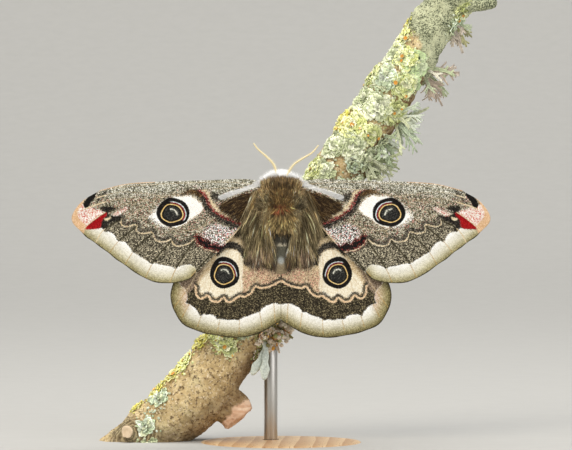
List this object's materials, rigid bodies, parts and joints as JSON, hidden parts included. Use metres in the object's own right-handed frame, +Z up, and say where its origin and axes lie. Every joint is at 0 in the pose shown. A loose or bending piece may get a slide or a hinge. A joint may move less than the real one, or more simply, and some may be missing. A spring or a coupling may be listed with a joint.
{
  "type": "emperor moth",
  "caption": "Life-size emperor moth at rest with spread, eyespotted wings, gripping a cut length of lichened twig that a small round display stand holds up.",
  "frame": {"origin": "middle of the underside of the stand's round base, on the floor", "axes": "+Z up, towards the moth's head. -Y is the way the moth's back and the upper side of its wings face. +X is the side of its right wings."},
  "size_m": [0.0813, 0.032, 0.0935],
  "materials": {
    "turned_wood": "pale turned beech, oiled",
    "rod_steel": "satin",
    "lichened_bark": "dull brown bark under grey-green and yellow lichen",
    "brown_hair": "long, soft, shaggy brown hair",
    "white_hair": "long white hair",
    "grey_hair": "short grey-brown hair with pale rings",
    "wing_scales": "powdery grey, white, black and crimson scales with an eyespot on each wing",
    "feeler_cream": "cream, slightly waxy",
    "compound_eye": "black-brown, finely faceted, glossy",
    "leg_hair": "brown hair over dark cuticle"
  },
  "bodies": {
    "root": {"stand_base": "turned_wood", "stand_rod": "rod_steel", "perch_twig": "lichened_bark", "thorax": "brown_hair", "head": "white_hair", "abdomen": "grey_hair", "eye_left": "compound_eye", "eye_right": "compound_eye", "antenna_left": "feeler_cream", "antenna_right": "feeler_cream", "forewing_left": "wing_scales", "forewing_right": "wing_scales", "hindwing_left": "wing_scales", "hindwing_right": "wing_scales", "foreleg_left": "leg_hair", "foreleg_right": "leg_hair", "midleg_left": "leg_hair", "midleg_right": "leg_hair", "hindleg_left": "leg_hair", "hindleg_right": "leg_hair"}
  },
  "joints": []
}
